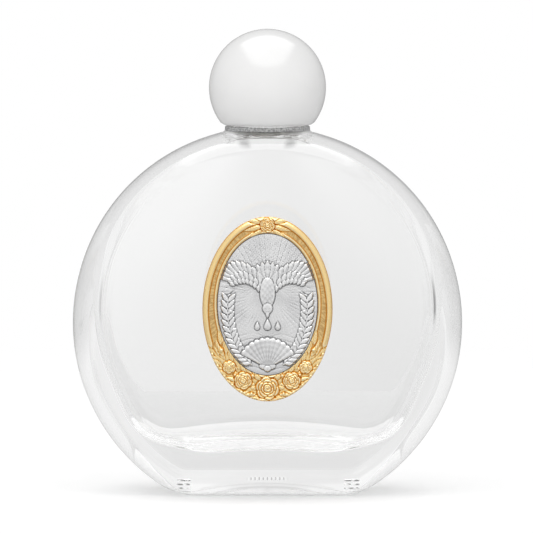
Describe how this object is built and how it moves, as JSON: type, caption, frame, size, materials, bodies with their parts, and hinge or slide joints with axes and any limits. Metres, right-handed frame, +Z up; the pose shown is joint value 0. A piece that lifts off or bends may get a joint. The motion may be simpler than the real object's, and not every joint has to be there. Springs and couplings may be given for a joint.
{
  "type": "holy water bottle",
  "caption": "Round flat glass holy water bottle with a white ball screw cap and a gilt oval plaque.",
  "frame": {"origin": "centre of the flat base, on the axis of the neck and cap", "axes": "+Z up along the neck, -Y the face that carries the plaque, +X to the right seen from the plaque's side"},
  "size_m": [0.0952, 0.0344, 0.1133],
  "materials": {
    "glass": "clear, fire-polished",
    "white_plastic": "glossy white",
    "inner_plastic": "natural moulded",
    "liner_foam": "soft sealing foam",
    "gilt": "gilded, satin with polished edges",
    "silver": "silvered, oxidised in the recesses",
    "backing_metal": "plain sheet",
    "glue_pad": "clear mounting pad"
  },
  "bodies": {
    "bottle": {"glass_bottle": "glass", "plaque_adhesive": "glue_pad", "plaque_backing": "backing_metal", "plaque_frame": "gilt", "plaque_medallion": "silver"},
    "liner": {"cap_liner": "liner_foam"},
    "cap": {"cap_base": "white_plastic", "cap_dome": "white_plastic", "cap_insert": "inner_plastic"}
  },
  "joints": [
    {"name": "cap_lift", "type": "slide", "parent": "bottle", "child": "liner", "axis": [0, 0, 1], "range_m": [0, 0.01111]},
    {"name": "cap_turn", "type": "hinge", "parent": "liner", "child": "cap", "pos_m": [0, 0, 0.099], "axis": [0, 0, 1], "range_deg": [0, 1260]}
  ],
  "couplings": [
    {"joint": "cap_lift", "follows": "cap_turn", "m_per_rad": 0.00050532}
  ]
}
